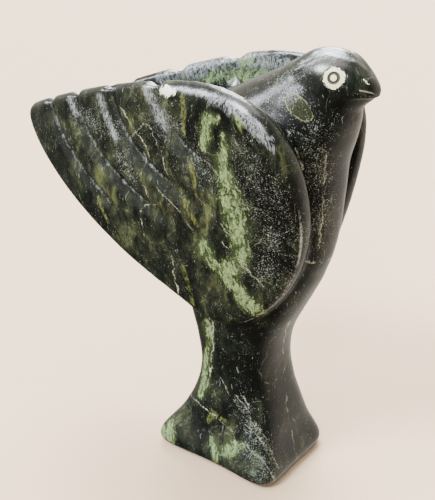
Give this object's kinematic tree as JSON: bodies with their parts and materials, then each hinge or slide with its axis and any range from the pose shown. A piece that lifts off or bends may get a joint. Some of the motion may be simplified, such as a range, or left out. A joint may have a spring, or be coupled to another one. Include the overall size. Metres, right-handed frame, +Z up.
{
  "type": "stone bird carving",
  "caption": "Polished serpentine carving of a bird with raised grooved wings, standing on a flared four-cornered foot.",
  "frame": {"origin": "centre of the flat underside of the foot", "axes": "+Z up, +X the way the bird looks, +Y to its left"},
  "size_m": [0.282, 0.1138, 0.3026],
  "materials": {
    "serpentine": "polished and waxed, dark green-black with pale green veins and fine white flecks"
  },
  "bodies": {
    "root": {"stone_bird": "serpentine"}
  },
  "joints": []
}
